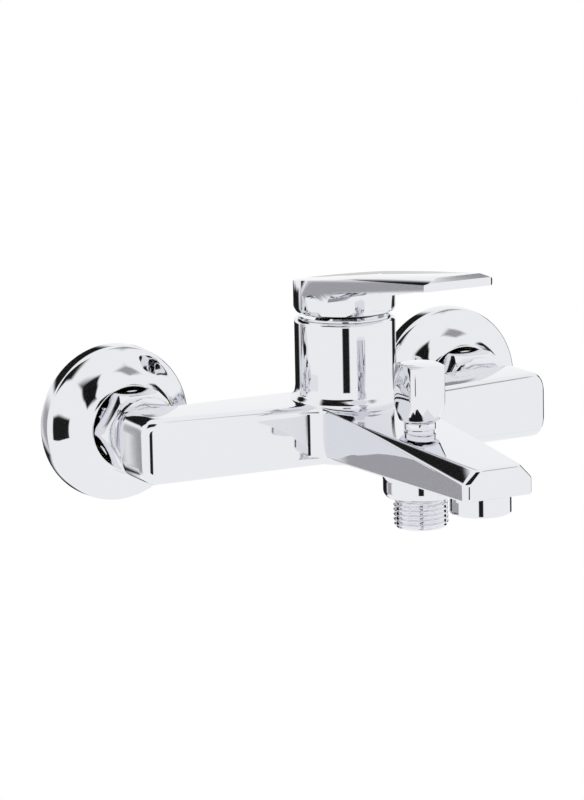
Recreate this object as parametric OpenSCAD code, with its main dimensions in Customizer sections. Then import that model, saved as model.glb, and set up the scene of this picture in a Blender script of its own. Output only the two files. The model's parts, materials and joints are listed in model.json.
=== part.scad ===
// Wall mounted bath mixer: single lever, pull-up diverter, hose outlet and spout.
// Frame: origin on the wall plane midway between the inlets, X along the arms,
// the mixer stands out along -Y, Z up. Millimetres.

/* [Wall connection] */
// Distance between the two inlet axes
inlet_pitch = 150; // [130:1:170]
// Radius of the wall thread, G1/2 major
wall_thread_r = 10.4775; // [9:0.0005:12]
// Length of the wall thread behind the wall plane
wall_thread_l = 14; // [8:1:25]
// Radius of the union thread, G3/4 major
union_thread_r = 13.22; // [12:0.01:15]
// Outer radius of a wall rosette
rosette_r = 30.8; // [25:0.1:36]
// Height of the rosette's straight rim
rosette_rim = 6.5; // [3:0.1:10]
// Distance from the wall to the rosette's neck
neck_out = 17.9; // [12:0.1:24]
// Nut size across the flats
nut_flats = 29.4; // [27:0.1:32]

/* [Body] */
// Distance from the wall to the column axis
column_out = 55; // [45:0.5:70]
// Radius of the column
column_r = 19.7; // [17:0.1:24]
// Height of the column's top edge over the inlet axis
column_top = 42.2; // [35:0.1:55]
// Half length of the arms
arm_half = 89.6; // [84:0.1:100]
// Height of the arms' top face
arm_top = 11; // [8:0.1:15]
// Height of the arms' underside
arm_low = -15; // [-18:0.1:-10]
// Radius of the cartridge chamber
chamber_r = 17.8; // [16:0.1:18.4]

/* [Spout] */
// Distance from the wall to the spout's front face
spout_out = 171; // [140:1:200]
// Distance from the wall to the aerator axis
aerator_out = 156.5; // [130:0.5:185]
// Height of the spout's underside
spout_low = -9.7; // [-14:0.1:-6]
// Half width of the spout at the tip
spout_half = 14.6; // [12:0.1:18]
// Outer radius of the aerator
aerator_r = 11.6; // [10:0.1:13]

/* [Diverter and hose outlet] */
// Distance from the wall to the knob and hose outlet axis
outlet_out = 112.2; // [100:0.1:125]
// Radius of the hose outlet thread, G1/2 major
hose_thread_r = 10.4775; // [9:0.0005:12]
// Height of the hose outlet's lower end
hose_low = -30.5; // [-40:0.5:-25]
// Knob width along X
knob_w = 14.8; // [10:0.1:20]
// Knob depth along Y
knob_d = 16; // [10:0.1:20]
// Knob height
knob_h = 21.8; // [15:0.1:30]

/* [Lever] */
// Distance from the wall to the lever's tip
lever_out = 143.4; // [110:0.1:170]
// Half width of the lever at the tip
lever_half = 14.6; // [10:0.1:18]
// Radius of the lever's cap
cap_r = 19.9; // [17:0.1:24]
// Height of the cap's lower edge
cap_low = 44.2; // [40:0.1:50]
// Height of the lift pivot
pivot_z = 36; // [30:0.5:40]

/* [Hidden] */
half_pitch = inlet_pitch / 2;
knob_z = 10.7;
brass = [0.78, 0.66, 0.36];
chrome = [0.82, 0.83, 0.86];
rubber = [0.12, 0.12, 0.13];
plastic = [0.85, 0.86, 0.88];
ceramic = [0.92, 0.9, 0.86];
steel = [0.66, 0.67, 0.7];
$fn = 96;

// tube or rod whose axis runs along -Y, from distance a to distance b off the wall
module yrod(x, z, r, a, b) translate([x, -a, z]) rotate([90, 0, 0]) cylinder(r = r, h = b - a);
module yring(x, z, r, ri, a, b) difference() {
  yrod(x, z, r, a, b);
  yrod(x, z, ri, a - 1, b + 1);
}
module at_column(z = 0) translate([0, -column_out, z]) children();
module at_outlet(z = 0) translate([0, -outlet_out, z]) children();
module at_aerator(z = 0) translate([0, -aerator_out, z]) children();

// ---- body casting
function arc(cx, cy, r, a0, a1, n) = [for (i = [0:n])
  let (a = a0 + (a1 - a0) * i / n) [cx + r * cos(a), cy + r * sin(a)]];
module arm_bar() intersection() {
  translate([0, 0, arm_low - 1]) linear_extrude(height = arm_top - arm_low + 2) polygon(concat(
    [[22, -31], [-22, -31]],
    arc(-arm_half + 3, -37, 3, 95, 180, 4),
    arc(-arm_half + 3, -55.5, 3, 180, 264, 4),
    [[-22, -65.8], [22, -65.8]],
    arc(arm_half - 3, -55.5, 3, 276, 360, 4),
    arc(arm_half - 3, -37, 3, 0, 85, 4)));
  translate([0, -20, 0]) rotate([90, 0, 0]) linear_extrude(height = 60) polygon(concat(
    arc(-arm_half + 4.5, arm_low + 4.5, 4.5, 180, 268, 5),
    [[-22, arm_low + 1.6], [22, arm_low + 1.6]],
    arc(arm_half - 4.5, arm_low + 4.5, 4.5, 272, 360, 5),
    arc(arm_half - 4.5, arm_top - 4.5, 4.5, 0, 88, 5),
    [[22, arm_top - 0.6], [-22, arm_top - 0.6]],
    arc(-arm_half + 4.5, arm_top - 4.5, 4.5, 92, 180, 5)));
}
// wedge cut off each upper side edge of the spout, widening towards the tip
module spout_chamfer() polyhedron(
  points = [[17.9, -90, 8], [7.2, -192, 0.9], [14.75, -192, -6.6], [60, -196, 60]],
  faces = [[0, 1, 2], [0, 3, 1], [0, 2, 3], [1, 3, 2]]);
module spout_bar() difference() {
  intersection() {
    translate([-30, 0, 0]) rotate([90, 0, 90]) linear_extrude(height = 60)
      polygon([[-60, 10], [-80, 8.7], [-92, 7.9], [-spout_out + 0.6, 2.5],
        [-spout_out, 1.6], [-spout_out, spout_low + 1.2],
        [-spout_out + 1.2, spout_low], [-60, spout_low]]);
    translate([0, 0, -20]) linear_extrude(height = 40) polygon(concat([[-17.9, -60], [-17.9, -86]],
      arc(-spout_half + 3.4, -spout_out + 3.4, 3.4, 182, 268, 5),
      arc(spout_half - 3.4, -spout_out + 3.4, 3.4, 272, 358, 5),
      [[17.9, -86], [17.9, -60]]));
  }
  spout_chamfer();
  mirror([1, 0, 0]) spout_chamfer();
}
module sweep_side() translate([0, 0, spout_low + 0.4]) linear_extrude(height = 17.2)
  polygon(concat([[10, -60], [26, -60]], arc(26, -73.6, 8.4, 90, 180, 10), [[17.6, -80], [10, -80]]));
module mixer_body() color(chrome) difference() {
  union() {
    arm_bar();
    spout_bar();
    sweep_side();
    mirror([1, 0, 0]) sweep_side();
    at_column() rotate_extrude() polygon([[0, -14], [column_r - 1.6, -14], [column_r, -12.4],
      [column_r, column_top - 1.2], [column_r - 1.2, column_top], [0, column_top]]);
    at_outlet() rotate_extrude() polygon([[0, -8], [14.3, -8], [14.3, -17.6], [13.1, -18.8], [0, -18.8]]);
    for (s = [-1, 1]) {
      yrod(s * half_pitch, 0, 10.3, 23.6, 40);
      yrod(s * half_pitch, 0, 12.6, 21.4, 23.6);
    }
  }
  // cartridge chamber, inlet waterways and the two floor ports
  at_column(12) cylinder(r = chamber_r, h = 40);
  for (s = [-1, 1]) {
    yrod(s * half_pitch, 0, 7, 20, 46);
    translate([s * 9, -46, -1]) rotate([0, s * 90, 0]) cylinder(r = 5.5, h = half_pitch - 5);
    translate([s * 9, -46, -1]) cylinder(r = 3.4, h = 20);
  }
  // mixed water: outlet port, spout channel, diverter chamber
  at_column() translate([0, -9, -4]) cylinder(r = 4.4, h = 20);
  translate([0, -64, -3.4]) rotate([90, 0, 0]) cylinder(r = 4.4, h = 92);
  at_outlet(-9.2) cylinder(r = 7.6, h = 10);
  at_outlet(-20) cylinder(r = 5, h = 12);
  at_outlet(0) cylinder(r = 5.6, h = 12);
  at_outlet(-20) cylinder(r = 10.55, h = 8.2);
  at_aerator(-20) cylinder(r = 10.5, h = 15.6);
}

// ---- wall side
module rosette(x) color(chrome) translate([x, 0, 0]) rotate([90, 0, 0]) rotate_extrude() difference() {
  polygon([[13.26, 0.2], [13.26, 7.2], [27.6, 7.2], [28.6, 6.6], [29.2, 0], [rosette_r - 0.3, 0],
    [rosette_r, 0.6], [rosette_r, rosette_rim - 1], [rosette_r - 0.9, rosette_rim + 0.3], [29, 7.6],
    [26, 8.9], [23, 10.4], [20.6, 12.2], [18.8, 14.4], [17.8, 16.4], [17.2, neck_out - 0.3],
    [16.6, neck_out], [16, neck_out - 0.5], [15.7, 15.6], [15.5, 9], [13.26, 8.9]]);
  polygon([[13.1, 0], [28.2, 0], [28, 5.6], [27, 6.2], [15.6, 6.2], [15.6, 2], [13.1, 2]]);
}
module rosette_left() rosette(-half_pitch);
module rosette_right() rosette(half_pitch);
module s_union(x) color(brass) difference() {
  union() {
    yrod(x, 0, wall_thread_r, -wall_thread_l, 0.5);
    yrod(x, 0, 12.4, 0.5, 6);
    yrod(x, 0, union_thread_r - 0.02, 6, 19);
  }
  yrod(x, 0, 7, -wall_thread_l - 1, 20);
}
module s_union_left() s_union(-half_pitch);
module s_union_right() s_union(half_pitch);
module union_nut(x) color(chrome) difference() {
  union() {
    yrod(x, 0, 14.9, 11, 19);
    intersection() {
      translate([x, -18.8, 0]) rotate([90, 0, 0]) cylinder(r = nut_flats / 2 / cos(30), h = 10.4, $fn = 6);
      translate([x, -18, 0]) rotate([90, 0, 0]) cylinder(r1 = 15.4, r2 = 17.4, h = 2.4);
    }
    intersection() {
      translate([x, -20.3, 0]) rotate([90, 0, 0]) cylinder(r = nut_flats / 2 / cos(30), h = 8.9, $fn = 6);
      translate([x, -20.2, 0]) rotate([90, 0, 0]) cylinder(r1 = 18.6, r2 = 15.2, h = 10);
    }
    yrod(x, 0, 13.8, 28, 31.6);
  }
  yrod(x, 0, union_thread_r + 0.05, 10, 23.9);
  yrod(x, 0, 10.36, 20, 33);
}
module union_nut_left() union_nut(-half_pitch);
module union_nut_right() union_nut(half_pitch);
module union_washer_left() color(rubber) yring(-half_pitch, 0, 12.4, 7.2, 19.02, 21.38);
module union_washer_right() color(rubber) yring(half_pitch, 0, 12.4, 7.2, 19.02, 21.38);

// ---- cartridge
module cartridge_base() color(plastic) at_column(13.6) difference() {
  cylinder(r = 17.2, h = 3);
  for (s = [-1, 1]) translate([s * 9, 9, -1]) cylinder(r = 3.2, h = 6);
  translate([0, -9, -1]) cylinder(r = 4, h = 6);
}
module base_seal() color(rubber) at_column(12.03) difference() {
  cylinder(r = 15.6, h = 1.54);
  for (s = [-1, 1]) translate([s * 9, 9, -1]) cylinder(r = 3.6, h = 6);
  translate([0, -9, -1]) cylinder(r = 4.6, h = 6);
}
module cartridge_housing() color(plastic) at_column() rotate_extrude()
  polygon([[13.6, 16.64], [17.2, 16.64], [17.2, 33], [15.6, 33], [15.6, 34.5], [9.4, 34.5], [9.4, 30.5],
    [13.6, 30.5]]);
module fixed_disc() color(ceramic) at_column(16.63) difference() {
  cylinder(r = 13.4, h = 3);
  for (s = [-1, 1]) translate([s * 8.2, 6.6, -1]) cylinder(r = 2.8, h = 6);
  translate([0, -6.8, -1]) cylinder(r = 3.4, h = 6);
}
module moving_disc() color(ceramic) at_column(19.66) difference() {
  union() {
    cylinder(r = 10.3, h = 3);
    cylinder(r = 6.8, h = 6.4);
  }
  translate([0, 0, -1]) cylinder(r = 4.6, h = 3);
  translate([-3.1, -3.1, 2.8]) cube([6.2, 6.2, 8]);
}
module stem_carrier() color(plastic) at_column() difference() {
  union() {
    translate([0, 0, 30.2]) cylinder(r = 9.34, h = 9.3);
    translate([0, 0, 27.4]) cylinder(r = 13.2, h = 2.9);
  }
  translate([-3.7, -8, 20]) cube([7.4, 16, 24]);
  translate([-10, 0, pivot_z]) rotate([0, 90, 0]) cylinder(r = 1.55, h = 20);
}
module hinge_pin() color(steel) at_column(pivot_z)
  translate([-8.6, 0, 0]) rotate([0, 90, 0]) cylinder(r = 1.5, h = 17.2);
module lever_stem() color(steel) at_column() difference() {
  union() {
    translate([-3.5, -3.5, 31]) cube([7, 7, 21.5]);
    translate([-2.2, -2.2, 23.2]) cube([4.4, 4.4, 8.5]);
  }
  translate([-10, 0, pivot_z]) rotate([0, 90, 0]) cylinder(r = 1.57, h = 20);
}
module retaining_nut() color(brass) at_column() difference() {
  rotate_extrude() polygon([[12.6, 34.56], [17.74, 34.56], [17.74, 41.2], [12.6, 41.2]]);
  for (a = [0:60:300]) rotate([0, 0, a]) translate([14, -1.6, 38.6]) cube([8, 3.2, 4]);
}
module trim_ring() color(chrome) at_column() rotate_extrude()
  polygon([[13.4, 41.24], [17.6, 41.24], [17.6, 42.24], [18.05, 42.24],
    [18.05, 42.7], [17.8, 42.95], [13.4, 42.95]]);

// ---- lever
module lever_shape() difference() {
  union() {
    at_column() rotate_extrude() polygon([[0, cap_low], [cap_r - 1.9, cap_low],
      [cap_r - 0.6, cap_low + 0.7], [cap_r, cap_low + 2.4], [cap_r, 70], [0, 70]]);
    translate([0, 0, 52]) linear_extrude(height = 22) polygon([[-cap_r + 0.05, -57], [cap_r - 0.05, -57],
      [cap_r - 0.3, -62], [lever_half + 0.1, -lever_out + 1.4], [lever_half - 1.3, -lever_out],
      [-lever_half + 1.3, -lever_out], [-lever_half - 0.1, -lever_out + 1.4], [-cap_r + 0.3, -62]]);
  }
  // sloping top face, side chamfers that widen to the tip, slanted front facet
  translate([-40, 0, 0]) rotate([90, 0, 90]) linear_extrude(height = 80)
    polygon([[-20, 52.9], [-160, 72.4], [-160, 90], [-20, 90]]);
  translate([-40, 0, 0]) rotate([90, 0, 90]) linear_extrude(height = 80)
    polygon([[-lever_out - 0.4, 67.6], [-141.2, 71.8], [-141.2, 80], [-160, 80], [-160, 67.6]]);
  // raised underside in front of the cap, with a curved run-out
  translate([-40, 0, 0]) rotate([90, 0, 90]) linear_extrude(height = 80)
    polygon([[-74.9, 40], [-74.9, 50.6], [-76, 53.4], [-79, 55.4], [-84, 56.9], [-160, 67.4], [-160, 40]]);
  // lower rear edge cut back so that the cap clears the body when it lifts
  translate([-40, 0, 0]) rotate([90, 0, 90]) linear_extrude(height = 80)
    polygon([[-54, 43], [-54, cap_low], [-30, 50.8], [-30, 43]]);
}
module side_chamfer(s) hull() {
  translate([s * 19.95, -76, 61]) sphere(r = 0.01, $fn = 8);
  translate([s * 8.2, -146, 70.6]) sphere(r = 0.01, $fn = 8);
  translate([s * 16.6, -146, 67.0]) sphere(r = 0.01, $fn = 8);
  translate([s * 26, -76, 61]) sphere(r = 0.01, $fn = 8);
  translate([s * 26, -146, 67.0]) sphere(r = 0.01, $fn = 8);
  translate([s * 26, -76, 80]) sphere(r = 0.01, $fn = 8);
  translate([s * 8.2, -146, 80]) sphere(r = 0.01, $fn = 8);
  translate([s * 26, -146, 80]) sphere(r = 0.01, $fn = 8);
  translate([s * 19.95, -76, 80]) sphere(r = 0.01, $fn = 8);
}
module lever_handle() color(chrome) difference() {
  union() {
    difference() {
      lever_shape();
      side_chamfer(-1);
      side_chamfer(1);
      at_column(40) cylinder(r = 16.9, h = 12.2);
    }
    at_column(46.4) cylinder(r = 7.6, h = 7);
  }
  at_column() translate([-3.52, -3.52, 40]) cube([7.04, 7.04, 12.6]);
  at_column(49.6) rotate([-90, 0, 0]) cylinder(r = 2.55, h = 30);
  at_column(49.6) translate([0, 17.2, 0]) rotate([-90, 0, 0]) cylinder(r = 3.25, h = 6);
}
module grub_screw() color(steel) at_column(49.6) translate([0, 3.54, 0]) rotate([-90, 0, 0]) difference() {
  cylinder(r = 2.5, h = 6);
  translate([0, 0, 3.6]) cylinder(r = 1.35, h = 4, $fn = 6);
}
module screw_plug() color(chrome) at_column(49.6)
  translate([0, 17.22, 0]) rotate([-90, 0, 0]) cylinder(r = 3.2, h = 2.1);

// ---- diverter
module diverter_bonnet() color(chrome) at_outlet() difference() {
  rotate_extrude() polygon([[0, 0.6], [5.55, 0.6], [5.55, 6.9], [6.1, 7.3],
    [6.1, 9.6], [5.7, 10], [0, 10]]);
  translate([0, 0, -1]) cylinder(r = 2.55, h = 14);
  translate([0, 0, 7]) cylinder(r = 3.9, h = 2);
}
module bonnet_o_ring() color(rubber) at_outlet(8) rotate_extrude()
  translate([3.2, 0]) circle(r = 0.6, $fn = 24);
module diverter_stem() color(steel) at_outlet() union() {
  translate([0, 0, -8]) cylinder(r = 2.5, h = 26);
  translate([0, 0, -7.6]) cylinder(r = 5.4, h = 1.6);
}
module diverter_seal() color(rubber) at_outlet(-9.18) difference() {
  cylinder(r = 6.6, h = 1.55);
  translate([0, 0, 1.16]) cylinder(r = 2.52, h = 3);
}
module knob_block() intersection() {
  translate([-knob_w / 2 + 2, -knob_d / 2 + 2, knob_z]) linear_extrude(height = knob_h)
    hull() {
      circle(r = 2, $fn = 48);
      translate([knob_w - 4, 0]) circle(r = 2, $fn = 48);
      translate([0, knob_d - 4]) circle(r = 2, $fn = 48);
      translate([knob_w - 4, knob_d - 4]) circle(r = 2, $fn = 48);
    }
  rotate_extrude() polygon([[0, knob_z], [7.6, knob_z], [8, knob_z + 0.6], [10.9, knob_z + 9.4],
    [11.4, knob_z + 14], [11.4, knob_z + 20.6], [7, knob_z + 21.6], [0, knob_z + 21.8]]);
}
module diverter_knob() color(chrome) at_outlet() difference() {
  knob_block();
  translate([0, 0, 5]) cylinder(r = 2.53, h = 13.4);
  translate([0, 0, 18]) cylinder(r = 1.55, h = 8);
}
module knob_screw() color(steel) at_outlet() translate([0, 0, 18.45]) cylinder(r = 1.5, h = 6);
module diverter_spring() color(steel) at_outlet(-5.72) for (i = [0:3]) translate([0, 0, i * 1.55])
  rotate_extrude() polygon([[3.4, 0], [4.4, 0], [4.4, 0.9], [4.2, 1.6], [3.6, 1.6], [3.4, 0.9]]);

// ---- hose outlet
module hose_nipple() color(chrome) at_outlet() difference() {
  union() {
    translate([0, 0, -18.78]) cylinder(r = 10.5, h = 6.8);
    rotate_extrude() polygon([[0, hose_low], [9.6, hose_low], [hose_thread_r, hose_low + 0.9],
      [hose_thread_r, -20.4], [9.4, -19.6], [9.4, -18.7], [0, -18.7]]);
  }
  translate([0, 0, -40]) cylinder(r = 7.4, h = 40);
}
module check_cage() color(plastic) at_outlet(-26) difference() {
  cylinder(r = 7.35, h = 9);
  translate([0, 0, -1]) cylinder(r = 4.6, h = 5);
  translate([0, 0, 3.9]) cylinder(r = 6, h = 6);
}
module check_poppet() color(rubber) at_outlet(-22) union() {
  translate([0, 0, 0.02]) cylinder(r = 5.4, h = 1.4);
  translate([0, 0, -3.4]) cylinder(r = 1.6, h = 4);
}

// ---- aerator
module aerator_housing() color(chrome) at_aerator() difference() {
  rotate_extrude() polygon([[9, -17.1], [aerator_r - 0.7, -17.1], [aerator_r, -16.4], [aerator_r, -9.75],
    [10.45, -9.75], [10.45, -5.6], [9, -5.6]]);
  translate([10.9, -3, -16.2]) cube([3, 6, 4.4]);
  translate([-13.9, -3, -16.2]) cube([3, 6, 4.4]);
}
module aerator_insert() color(plastic) at_aerator(-16.4) difference() {
  cylinder(r = 8.97, h = 10);
  translate([0, 0, 2.4]) cylinder(r = 7.6, h = 9);
  for (x = [-5.4:1.8:5.4]) translate([x - 0.55, -5.6, -1]) cube([1.1, 11.2, 6]);
}
module aerator_washer() color(rubber) at_aerator(-5.58) difference() {
  cylinder(r = 10.3, h = 1.1);
  translate([0, 0, -1]) cylinder(r = 7.4, h = 4);
}

mixer_body();
rosette_left();
rosette_right();
s_union_left();
s_union_right();
union_nut_left();
union_nut_right();
union_washer_left();
union_washer_right();
trim_ring();
retaining_nut();
cartridge_housing();
cartridge_base();
base_seal();
fixed_disc();
moving_disc();
stem_carrier();
hinge_pin();
lever_stem();
lever_handle();
grub_screw();
screw_plug();
diverter_bonnet();
bonnet_o_ring();
diverter_stem();
diverter_knob();
knob_screw();
diverter_seal();
diverter_spring();
hose_nipple();
check_cage();
check_poppet();
aerator_housing();
aerator_insert();
aerator_washer();
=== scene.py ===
import bpy
import bmesh
import json
import math
from mathutils import Matrix, Vector


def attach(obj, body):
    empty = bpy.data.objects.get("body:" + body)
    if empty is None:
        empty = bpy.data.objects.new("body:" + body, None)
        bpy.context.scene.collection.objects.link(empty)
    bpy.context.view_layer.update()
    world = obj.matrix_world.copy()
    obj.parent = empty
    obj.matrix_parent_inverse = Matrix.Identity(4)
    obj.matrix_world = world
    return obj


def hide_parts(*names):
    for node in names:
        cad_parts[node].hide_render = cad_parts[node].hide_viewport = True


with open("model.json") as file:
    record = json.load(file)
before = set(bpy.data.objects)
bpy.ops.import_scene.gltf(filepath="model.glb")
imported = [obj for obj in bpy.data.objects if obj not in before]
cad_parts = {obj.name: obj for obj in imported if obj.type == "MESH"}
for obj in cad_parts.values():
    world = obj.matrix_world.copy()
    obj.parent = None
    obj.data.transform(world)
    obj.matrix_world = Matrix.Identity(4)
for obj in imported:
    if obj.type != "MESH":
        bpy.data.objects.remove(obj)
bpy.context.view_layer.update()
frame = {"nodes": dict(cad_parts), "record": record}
MM = 0.001

# ---- Bright chrome plate ------------------------------------------------------------
# Every outer piece is cast or turned brass, polished, then nickel and chrome plated.
# The plate is a clean mirror with the faint waviness that hand polishing leaves.


def linear(hex_colour):
    """sRGB hex to linear RGBA."""
    parts = [int(hex_colour[i:i + 2], 16) / 255 for i in (1, 3, 5)]
    return [c / 12.92 if c <= 0.04045 else ((c + 0.055) / 1.055) ** 2.4 for c in parts] + [1.0]


def add_node(tree, kind, settings=(), links=()):
    """Adds a node, sets its values or named sockets, and links (socket, source output) pairs."""
    made = tree.nodes.new(kind)
    for key, value in dict(settings).items():
        if key in made.inputs and not hasattr(made, key):
            made.inputs[key].default_value = value
        else:
            setattr(made, key, value)
    for socket, source in dict(links).items():
        tree.links.new(source, made.inputs[socket])
    return made


def finish_material(name, colour, metallic, rough_low, rough_high, grain_mm, bump_mm=0.0):
    """A solid finish whose roughness drifts over patches of a real size in millimetres."""
    material = bpy.data.materials.new(name)
    material.use_nodes = True
    tree = material.node_tree
    shader = tree.nodes["Principled BSDF"]
    shader.inputs["Base Color"].default_value = linear(colour)
    shader.inputs["Metallic"].default_value = metallic
    place = add_node(tree, "ShaderNodeTexCoord")
    noise = add_node(tree, "ShaderNodeTexNoise", {"Scale": 1000 / grain_mm, "Detail": 3.0},
                     {"Vector": place.outputs["Object"]})
    spread = add_node(tree, "ShaderNodeMapRange", {"To Min": rough_low, "To Max": rough_high},
                      {"Value": noise.outputs["Fac"]})
    tree.links.new(spread.outputs["Result"], shader.inputs["Roughness"])
    if bump_mm:
        bump = add_node(tree, "ShaderNodeBump", {"Strength": 1.0, "Distance": bump_mm * MM},
                        {"Height": noise.outputs["Fac"]})
        tree.links.new(bump.outputs["Normal"], shader.inputs["Normal"])
    return material


chrome_plate = finish_material("bright chrome plate on polished brass", "#e9eaee", 1.0, 0.02, 0.05, 40)
turned_brass = finish_material("turned brass", "#c9a85a", 1.0, 0.22, 0.34, 1.5, 0.01)
turned_steel = finish_material("turned stainless steel", "#b9bbc0", 1.0, 0.2, 0.32, 1.0, 0.005)
moulded_acetal = finish_material("moulded acetal", "#e4e4e0", 0.0, 0.35, 0.48, 0.8, 0.01)
lapped_alumina = finish_material("lapped alumina ceramic", "#f1ede2", 0.0, 0.12, 0.2, 2.0)
moulded_rubber = finish_material("moulded nitrile rubber", "#1c1c1e", 0.0, 0.6, 0.75, 0.5, 0.02)
FINISH_OF_SLOT = {"chrome": chrome_plate, "brass": turned_brass, "steel": turned_steel,
                  "plastic": moulded_acetal, "ceramic": lapped_alumina, "rubber": moulded_rubber}

# ---- Hidden and turned pieces that keep their CAD shape -------------------------------
# Cartridge parts, seals, screws and unions: turned, moulded or lapped. Their CAD solids
# already have the real shape, so each only takes the finish of its material slot.
slot_of_node = {part["node"]: part["material_slot"] for part in frame["record"]["subparts"]}
for node_name, node_object in frame["nodes"].items():
    node_object.data.materials.clear()
    node_object.data.materials.append(FINISH_OF_SLOT[slot_of_node[node_name]])


def softened(node_name, piece_name, edge_mm, body, sharp_deg=28, segments=4):
    """A copy of a CAD node with its edges rounded the way polishing rounds a casting."""
    mesh = bpy.data.meshes.new(piece_name)
    work = bmesh.new()
    work.from_mesh(frame["nodes"][node_name].data)
    bmesh.ops.remove_doubles(work, verts=work.verts, dist=0.002 * MM)
    bmesh.ops.dissolve_limit(work, angle_limit=math.radians(0.6), verts=work.verts, edges=work.edges)
    bmesh.ops.recalc_face_normals(work, faces=work.faces)
    for face in work.faces:
        face.smooth = True
    work.to_mesh(mesh)
    work.free()
    piece = bpy.data.objects.new(piece_name, mesh)
    bpy.context.collection.objects.link(piece)
    mesh.materials.append(chrome_plate)
    bevel = piece.modifiers.new("rounded edges", "BEVEL")
    bevel.width = edge_mm * MM
    bevel.segments = segments
    bevel.limit_method = "ANGLE"
    bevel.angle_limit = math.radians(sharp_deg)
    bevel.use_clamp_overlap = True
    bevel.harden_normals = True
    bevel.miter_outer = "MITER_ARC"
    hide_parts(node_name)
    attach(piece, body)


def plain_piece(name, points, faces, finish, body, replaced=()):
    """A mesh piece from points in millimetres, smooth shaded, riding on a CAD body."""
    mesh = bpy.data.meshes.new(name)
    mesh.from_pydata([Vector(p) * MM for p in points], [], faces)
    work = bmesh.new()
    work.from_mesh(mesh)
    bmesh.ops.remove_doubles(work, verts=work.verts, dist=0.001 * MM)
    bmesh.ops.recalc_face_normals(work, faces=work.faces)
    for face in work.faces:
        face.smooth = True
    work.to_mesh(mesh)
    work.free()
    mesh.set_sharp_from_angle(angle=math.radians(34))
    piece = bpy.data.objects.new(name, mesh)
    bpy.context.collection.objects.link(piece)
    mesh.materials.append(finish)
    if replaced:
        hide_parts(*replaced)
    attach(piece, body)
    return piece


def turned(profile, centre, upright=True, steps=128):
    """Points and faces of a closed (radius, height) profile spun about Z, or about -Y."""
    points, faces = [], []
    count = len(profile)
    for i in range(steps):
        turn = 2 * math.pi * i / steps
        for radius, height in profile:
            x, y = radius * math.cos(turn), radius * math.sin(turn)
            local = (x, y, height) if upright else (x, -height, y)
            points.append([c + l for c, l in zip(centre, local)])
    for i in range(steps):
        j = (i + 1) % steps
        for k in range(count):
            m = (k + 1) % count
            faces.append((i * count + k, j * count + k, j * count + m, i * count + m))
    return points, faces


def rounded(corners, radius, steps=5):
    """Corners of a closed 2-D outline, each replaced by a short curve."""
    out = []
    total = len(corners)
    for i, corner in enumerate(corners):
        here = Vector(corner)
        before, after = Vector(corners[i - 1]) - here, Vector(corners[(i + 1) % total]) - here
        cut = min(radius, before.length * 0.48, after.length * 0.48)
        start, end = here + before.normalized() * cut, here + after.normalized() * cut
        for s in range(steps + 1):
            t = s / steps
            out.append(tuple(start * (1 - t) ** 2 + here * 2 * t * (1 - t) + end * t ** 2))
    return out


# ---- Body casting -------------------------------------------------------------------
# One brass casting: arms, upright column, spout and hose boss. The edges are rounded by
# linishing and polishing before it is plated. Built as closed shells that run into each other.
HALF_PITCH, OUTLET_OUT = 75, 112.2
ARM_END, ARM_TOP, ARM_LOW = 89.6, 11.0, -15.0
END_ROUND, END_SHRINK_Y, END_SHRINK_Z = 6.0, 3.2, 6.4
TIP_ROUND, TIP_SHRINK = 3.2, 3.0
SPOUT_LOW, SPOUT_TIP, FILLET, FILLET_END = -9.7, 171.0, 9.0, 73.8
SPOUT_STATIONS = (58, 62, 64, 65.2, 65.4, 65.8, 66.4, 67.2, 68.2, 69.4, 70.8, 72.4, 74.2,
                  77, 81, 85, 88, 91, 94, 98) + tuple(range(102, 166, 6))
COLUMN_OUT, COLUMN_RADIUS, COLUMN_TOP = 55.0, 19.7, 42.2


def join_shells(*shells):
    """One list of points and one of faces from several shells."""
    points, faces = [], []
    for shell_points, shell_faces in shells:
        faces += [tuple(index + len(points) for index in face) for face in shell_faces]
        points += list(shell_points)
    return points, faces


def lofted(rings):
    """Points and faces of a closed skin through rings that all have the same point count."""
    points = [point for ring in rings for point in ring]
    count = len(rings[0])
    faces = [tuple(range(count)), tuple(range(len(points) - count, len(points)))]
    for r in range(len(rings) - 1):
        for i in range(count):
            j = (i + 1) % count
            faces.append((r * count + i, r * count + j, (r + 1) * count + j, (r + 1) * count + i))
    return points, faces


def between(value, low, high, at_low, at_high):
    """Straight-line value between two places, held level outside them."""
    t = min(1.0, max(0.0, (value - low) / (high - low)))
    return at_low + (at_high - at_low) * t


def arm_ring(x, shrink_y=0.0, shrink_z=0.0):
    """A rounded rectangle across the arms, thicker and lower towards the middle."""
    reach = abs(x)
    front = -between(reach, 20, ARM_END, 66.0, 58.5) + shrink_y
    rear = -between(reach, 20, ARM_END, 31.2, 34.2) - shrink_y
    top = between(reach, 20, ARM_END, 10.3, ARM_TOP) - shrink_z
    low = between(reach, 20, ARM_END, -13.6, ARM_LOW) + shrink_z
    outline = rounded([(front, low), (rear, low), (rear, top), (front, top)], 4.2, 8)
    return [(x, y, z) for y, z in outline]


def arm_end_ring(side, turn):
    """A ring of an arm's rounded end, on side -1 or 1, at a turn in degrees."""
    a = math.radians(turn)
    x = side * (ARM_END - END_ROUND + END_ROUND * math.sin(a))
    return arm_ring(x, END_SHRINK_Y * (1 - math.cos(a)), END_SHRINK_Z * (1 - math.cos(a)))


def arm_rings():
    """Rings along both arms, from the left end to the right one."""
    turns = (90, 75, 60, 45, 30, 15, 0)
    rings = [arm_end_ring(-1, turn) for turn in turns]
    rings += [arm_ring(x) for x in range(-80, 81, 10)]
    rings += [arm_end_ring(1, turn) for turn in reversed(turns)]
    return rings


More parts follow.
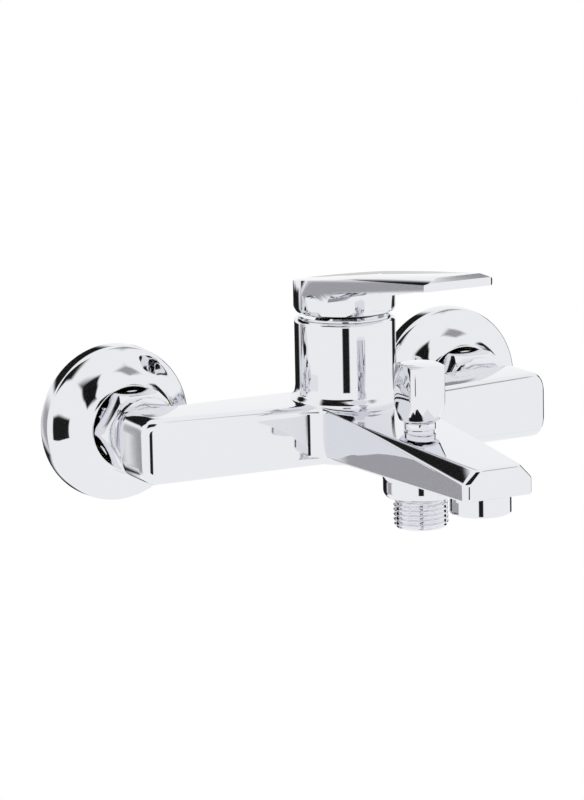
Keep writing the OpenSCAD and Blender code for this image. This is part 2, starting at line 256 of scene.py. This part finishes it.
def spout_ring(out, shrink=0.0):
    """The spout's section at a distance from the wall: flat sides, chamfers that widen, flat top."""
    side = between(out, 86, 168, 17.9, 14.7)
    if out < FILLET_END:
        side = max(side, 17.9 + FILLET - math.sqrt(max(0.0, FILLET ** 2 - (FILLET_END - out) ** 2)))
    top = between(out, 66, 85, 10.0, 8.34) if out < 85 else between(out, 85, 171, 8.34, 2.3)
    crease = min(top - 0.06, between(out, 92, 168, 7.9, -2.9))
    ridge = min(side - 0.06, between(out, 90, 171, 17.8, 9.4))
    low = SPOUT_LOW + shrink * 0.4
    side -= shrink
    ridge -= shrink * 0.7
    top -= shrink * 0.25
    crease -= shrink * 0.1
    outline = rounded([(-side, low), (side, low), (side, crease), (ridge, top), (-ridge, top),
                       (-side, crease)], 0.9, 4)
    return [(x, -out, z) for x, z in outline]


def spout_rings():
    """Rings from inside the arms out to the spout's rounded front edge."""
    rings = [spout_ring(out) for out in SPOUT_STATIONS]
    for turn in (0, 18, 36, 54, 72, 90):
        a = math.radians(turn)
        out = SPOUT_TIP - TIP_ROUND + TIP_ROUND * math.sin(a)
        rings.append(spout_ring(out, TIP_SHRINK * (1 - math.cos(a))))
    return rings


column_corners = [(17.6, -13.8), (COLUMN_RADIUS, -12), (COLUMN_RADIUS, 4.0), (21.6, 5.2),
                  (21.7, 10.4), (20.9, 11.6), (20.2, 12.6), (COLUMN_RADIUS, 15.2),
                  (COLUMN_RADIUS, COLUMN_TOP - 1.0), (COLUMN_RADIUS - 1.1, COLUMN_TOP),
                  (17.8, COLUMN_TOP), (17.8, 12)]
column_outline = [(0.0, -13.8)] + rounded(column_corners, 1.2, 5) + [(0.0, 12.0)]
boss_corners = [(16.4, -8.2), (14.3, -11.4), (14.3, -17.0), (12.9, -18.8), (10.6, -18.8)]
boss_outline = [(5.0, -6.0)] + rounded(boss_corners, 1.2, 4) + [(5.0, -12.0)]
spigot_outline = rounded([(7, 21.4), (12.6, 21.4), (12.6, 23.6), (10.3, 23.8), (10.3, 36), (7, 36)], 0.4, 3)
body_shells = join_shells(
    lofted(arm_rings()),
    lofted(spout_rings()),
    turned(column_outline, (0, -COLUMN_OUT, 0)),
    turned(boss_outline, (0, -OUTLET_OUT, 0)),
    turned(spigot_outline, (-HALF_PITCH, 0, 0), upright=False),
    turned(spigot_outline, (HALF_PITCH, 0, 0), upright=False))
body = plain_piece("body_casting", *body_shells, chrome_plate, "mixer", ["mixer_body"])

# ---- Wall rosettes ------------------------------------------------------------------
# Spun brass cover plates with a straight rim, a dished face and a rolled neck.
# They are hollow behind and hide the wall unions.
ROSETTE_RADIUS = 30.8
rosette_outline = rounded([(13.3, 7), (15.6, 7.6), (15.7, 16.0), (16.4, 17.9), (17.3, 17.2), (18.0, 15.6),
                           (19.4, 13.2), (22.0, 10.8), (25.4, 9.0), (28.6, 7.6), (ROSETTE_RADIUS - 0.2, 6.4),
                           (ROSETTE_RADIUS, 0.02), (29.2, 0.02), (28.4, 6.1), (24, 7.6), (18.4, 8),
                           (16.4, 6.2), (13.3, 6.2)], 1.6)
for side, x in (("left", -HALF_PITCH), ("right", HALF_PITCH)):
    points, faces = turned(rosette_outline, (x, 0, 0), upright=False, steps=160)
    rosette = plain_piece("rosette_cover_" + side, points, faces, chrome_plate, "mixer", ["rosette_" + side])

# ---- Union nuts ---------------------------------------------------------------------
# Hexagonal brass nuts that draw the body onto the wall unions, with chamfered corners.
# Each one turns freely, so it rides on a body of its own.
for side in ("left", "right"):
    softened("union_nut_" + side, "hex_nut_" + side, 0.5, "nut_" + side, segments=3)

# ---- Lever --------------------------------------------------------------------------
# A cast zinc lever: a round cap and a flat plate whose side chamfers widen to the tip.
# It swings with the cartridge stem and tilts on it.
softened("lever_handle", "lever", 0.8, "lever", segments=3)

# ---- Diverter knob ------------------------------------------------------------------
# A machined brass knob, square with rounded edges, turned to a round foot.
# It is pulled up to send the water to the hose.
softened("diverter_knob", "pull_knob", 0.5, "diverter", segments=3)


# ---- Hose outlet --------------------------------------------------------------------
# A turned brass nipple with a parallel half-inch pipe thread for the shower hose.
# The thread's pitch is 1.814 mm and it is cut 1.16 mm deep.
THREAD_RADIUS, THREAD_BORE, THREAD_PITCH, THREAD_DEPTH = 10.4775, 7.4, 1.814, 1.16


def threaded_sleeve(centre_y, low, high, major, bore, pitch, depth, around=96, per_turn=12):
    """A closed sleeve along Z with a helical thread outside and a plain bore inside."""
    points, faces = [], []
    rows = int((high - low) / pitch * per_turn)
    for r in range(rows + 1):
        z = low + (high - low) * r / rows
        ends = min(1.0, (z - low) / (0.8 * pitch), (high - z) / (0.8 * pitch))
        for i in range(around):
            phase = (z / pitch - i / around) % 1.0
            crest = min(1.0, max(0.0, 1.35 - 2.7 * abs(phase - 0.5) * 1.25))
            radius = major - depth + depth * crest * ends
            turn = 2 * math.pi * i / around
            points.append((radius * math.cos(turn), centre_y + radius * math.sin(turn), z))
    for r in range(rows):
        for i in range(around):
            j = (i + 1) % around
            faces.append((r * around + i, r * around + j, (r + 1) * around + j, (r + 1) * around + i))
    inner = len(points)
    for z in (low, high):
        for i in range(around):
            turn = 2 * math.pi * i / around
            points.append((bore * math.cos(turn), centre_y + bore * math.sin(turn), z))
    for i in range(around):
        j = (i + 1) % around
        faces.append((inner + i, inner + j, inner + around + j, inner + around + i))
        faces.append((i, j, inner + j, inner + i))
        top = rows * around
        faces.append((top + i, top + j, inner + around + j, inner + around + i))
    return points, faces


nipple_collar = rounded([(THREAD_BORE, -20.2), (9.3, -20.2), (9.3, -18.7), (10.4, -18.6), (10.4, -12),
                         (THREAD_BORE, -12)], 0.3, 2)
nipple_shells = join_shells(
    threaded_sleeve(-OUTLET_OUT, -30.5, -19.4, THREAD_RADIUS, THREAD_BORE, THREAD_PITCH, THREAD_DEPTH),
    turned(nipple_collar, (0, -OUTLET_OUT, 0)))
nipple = plain_piece("threaded_nipple", *nipple_shells, chrome_plate, "mixer", ["hose_nipple"])

# ---- Studio -------------------------------------------------------------------------
# A pale floor below and plain soft light from all round, with one soft lamp above.
# Black and grey cards out of the camera's sight give the plate something to reflect.
MIDDLE = Vector((0, -0.08, 0.02))


def floor_paint(name, colour):
    """Matt paint that is plain white where the camera, a mirror or glass sees it."""
    material = bpy.data.materials.new(name)
    material.use_nodes = True
    tree = material.node_tree
    shader = tree.nodes["Principled BSDF"]
    shader.inputs["Base Color"].default_value = linear(colour)
    shader.inputs["Roughness"].default_value = 0.9
    path = add_node(tree, "ShaderNodeLightPath")
    seen = path.outputs["Is Camera Ray"]
    for ray in ("Is Glossy Ray", "Is Transmission Ray"):
        either = add_node(tree, "ShaderNodeMath", {"operation": "MAXIMUM"})
        tree.links.new(seen, either.inputs[0])
        tree.links.new(path.outputs[ray], either.inputs[1])
        seen = either.outputs[0]
    glow = add_node(tree, "ShaderNodeEmission", {"Color": (1, 1, 1, 1), "Strength": 1.0})
    mix = add_node(tree, "ShaderNodeMixShader")
    tree.links.new(seen, mix.inputs[0])
    tree.links.new(shader.outputs[0], mix.inputs[1])
    tree.links.new(glow.outputs[0], mix.inputs[2])
    tree.links.new(mix.outputs[0], tree.nodes["Material Output"].inputs["Surface"])
    return material


def panel(name, centre, facing, width, height, material, seen=False):
    """A flat rectangle, centred at a point and facing along a direction."""
    mesh = bpy.data.meshes.new(name)
    mesh.from_pydata([(-0.5, -0.5, 0), (0.5, -0.5, 0), (0.5, 0.5, 0), (-0.5, 0.5, 0)], [], [(0, 1, 2, 3)])
    mesh.materials.append(material)
    piece = bpy.data.objects.new(name, mesh)
    bpy.context.collection.objects.link(piece)
    forward = Vector(facing).normalized()
    side = Vector((0, 1, 0)) if abs(forward.z) > 0.99 else Vector((0, 0, 1)).cross(forward).normalized()
    above = forward.cross(side)
    piece.matrix_world = Matrix.LocRotScale(Vector(centre), Matrix((side, above, forward)).transposed(),
                                            Vector((width, height, 1)))
    piece.visible_camera = seen
    piece.visible_shadow = seen
    piece.visible_diffuse = seen


def toward(azimuth, elevation, distance):
    """A point at a distance from the object's middle; azimuth 0 is in front of the wall."""
    a, e = math.radians(azimuth), math.radians(elevation)
    direction = Vector((math.sin(a) * math.cos(e), -math.cos(a) * math.cos(e), math.sin(e)))
    return MIDDLE + direction * distance


panel("pale_floor", (0, 0, -0.6), (0, 0, 1), 12, 12, floor_paint("pale floor paint", "#f4f4f4"), True)


def card_material(name, colour, strength, soft):
    """A hung card whose edges fade over a share of its width, so reflections end softly."""
    material = bpy.data.materials.new(name)
    material.use_nodes = True
    tree = material.node_tree
    shader = tree.nodes["Principled BSDF"]
    shader.inputs["Base Color"].default_value = linear(colour)
    shader.inputs["Roughness"].default_value = 1.0
    place = add_node(tree, "ShaderNodeTexCoord")
    split = add_node(tree, "ShaderNodeSeparateXYZ", {}, {"Vector": place.outputs["Object"]})
    sides = []
    for axis in ("X", "Y"):
        size = add_node(tree, "ShaderNodeMath", {"operation": "ABSOLUTE"})
        tree.links.new(split.outputs[axis], size.inputs[0])
        fade = add_node(tree, "ShaderNodeMapRange", {"interpolation_type": "SMOOTHSTEP", "From Min": 0.5,
                                                     "From Max": 0.5 - soft, "To Max": strength})
        tree.links.new(size.outputs[0], fade.inputs["Value"])
        sides.append(fade.outputs["Result"])
    both = add_node(tree, "ShaderNodeMath", {"operation": "MINIMUM"})
    tree.links.new(sides[0], both.inputs[0])
    tree.links.new(sides[1], both.inputs[1])
    clear = add_node(tree, "ShaderNodeBsdfTransparent")
    mix = add_node(tree, "ShaderNodeMixShader")
    tree.links.new(both.outputs[0], mix.inputs[0])
    tree.links.new(clear.outputs[0], mix.inputs[1])
    tree.links.new(shader.outputs[0], mix.inputs[2])
    tree.links.new(mix.outputs[0], tree.nodes["Material Output"].inputs["Surface"])
    return material


black_card = card_material("black studio card", "#0b0b0c", 1.0, 0.16)
grey_card = card_material("grey studio card", "#6f6c75", 0.75, 0.3)
# name, azimuth and elevation in degrees, then distance, width and height in metres
CARDS = (
    ("strip_by_the_camera", -28, -11, 1.9, 0.62, 0.8, black_card),
    ("overhead_flag", -52, 45, 1.3, 1.9, 0.8, black_card),
    ("card_behind", 176, -17, 1.0, 1.2, 0.5, black_card),
    ("card_behind_left", -141, -9, 1.2, 0.62, 1.0, grey_card),
    ("dark_card_above_behind", -170, 31, 1.2, 1.4, 0.66, black_card),
    ("flag_on_the_right", 116, 2, 1.4, 0.66, 1.2, black_card),
    ("low_grey_front", 62, -38, 1.3, 1.1, 0.6, grey_card),
    ("high_grey_right", 60, 54, 1.3, 1.0, 0.6, grey_card),
    ("low_grey_left", -70, -50, 1.2, 0.9, 0.5, grey_card),
)
for name, azimuth, elevation, distance, width, height, material in CARDS:
    spot = toward(azimuth, elevation, distance)
    panel(name, spot, MIDDLE - spot, width, height, material)

world = bpy.data.worlds.new("studio")
world.use_nodes = True
bpy.context.scene.world = world
sky = world.node_tree.nodes["Background"]
sky.inputs["Color"].default_value = (1, 1, 1, 1)
sky.inputs["Strength"].default_value = 1.0

key_data = bpy.data.lights.new("key softbox", "AREA")
key_data.shape = "RECTANGLE"
key_data.size, key_data.size_y, key_data.energy = 0.8, 0.8, 12
key = bpy.data.objects.new("key softbox", key_data)
key.location = toward(20, 55, 1.5)
key.rotation_euler = (MIDDLE - key.location).to_track_quat("-Z", "Y").to_euler()
key.visible_glossy = False
bpy.context.collection.objects.link(key)

# ---- Camera -------------------------------------------------------------------------
# A long lens looking down a little from the left, rolled by about a degree.
# It stands well back, so the perspective is mild.
YAW, PITCH, ROLL = math.radians(-28.25), math.radians(11.05), math.radians(-1.10)
AIM, CAMERA_DISTANCE, SHIFT_RIGHT, SHIFT_UP = Vector((0, -0.0567, 0.00945)), 1.7493, -0.0219, 0.00005
back = Vector((math.sin(YAW) * math.cos(PITCH), -math.cos(YAW) * math.cos(PITCH), math.sin(PITCH)))
right = Vector((math.cos(YAW), math.sin(YAW), 0))
up = back.cross(right)
camera_data = bpy.data.cameras.new("camera")
camera_data.lens = 202.5
camera_data.sensor_width = 36
camera_data.clip_end = 20
camera = bpy.data.objects.new("camera", camera_data)
camera.location = AIM + back * CAMERA_DISTANCE + right * SHIFT_RIGHT + up * SHIFT_UP
rolled_right = right * math.cos(ROLL) + up * math.sin(ROLL)
rolled_up = up * math.cos(ROLL) - right * math.sin(ROLL)
camera.rotation_euler = Matrix((rolled_right, rolled_up, back)).transposed().to_euler()
bpy.context.collection.objects.link(camera)
bpy.context.scene.camera = camera
bpy.context.scene.view_settings.view_transform = "Standard"
